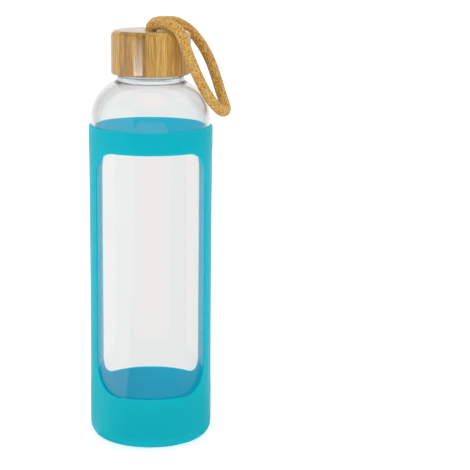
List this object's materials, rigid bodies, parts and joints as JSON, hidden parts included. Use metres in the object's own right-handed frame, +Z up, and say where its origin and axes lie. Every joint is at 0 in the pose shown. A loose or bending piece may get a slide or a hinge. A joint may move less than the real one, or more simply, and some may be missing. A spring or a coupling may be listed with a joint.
{
  "type": "water bottle",
  "caption": "Clear glass bottle in a windowed silicone sleeve, closed by a bamboo screw lid with a cord carrying loop.",
  "frame": {"origin": "on the bottle's axis, at the middle of the face that the sleeve stands on", "axes": "+Z up along the bottle's axis; -Y is the front, where one sleeve window faces; the cord loop hangs towards +X"},
  "size_m": [0.0802, 0.07, 0.242],
  "materials": {
    "silicone_sleeve": "satin matt moulded silicone",
    "clear_glass": "clear polished borosilicate glass",
    "bamboo": "laminated bamboo strips, turned and satin lacquered",
    "liner_plastic": "natural white moulded polypropylene",
    "seal_silicone": "translucent white silicone",
    "braided_cord": "round braided polyester, tan with darker flecks"
  },
  "bodies": {
    "sleeve": {"sleeve": "silicone_sleeve"},
    "bottle": {"glass_body": "clear_glass"},
    "seal": {"seal_ring": "seal_silicone"},
    "lid": {"lid_cap": "bamboo", "lid_liner": "liner_plastic", "strap_cord": "braided_cord", "strap_knots": "braided_cord"}
  },
  "joints": [
    {"name": "glass_out", "type": "slide", "parent": "sleeve", "child": "bottle", "axis": [0, 0, 1], "range_m": [0, 0.19]},
    {"name": "lid_lift", "type": "slide", "parent": "bottle", "child": "seal", "axis": [0, 0, 1], "range_m": [0, 0.012]},
    {"name": "lid_turn", "type": "hinge", "parent": "seal", "child": "lid", "pos_m": [0, 0, 0.22], "axis": [0, 0, 1], "range_deg": [0, 540]}
  ],
  "couplings": [
    {"joint": "lid_turn", "follows": "lid_lift", "rad_per_m": 785.4}
  ]
}
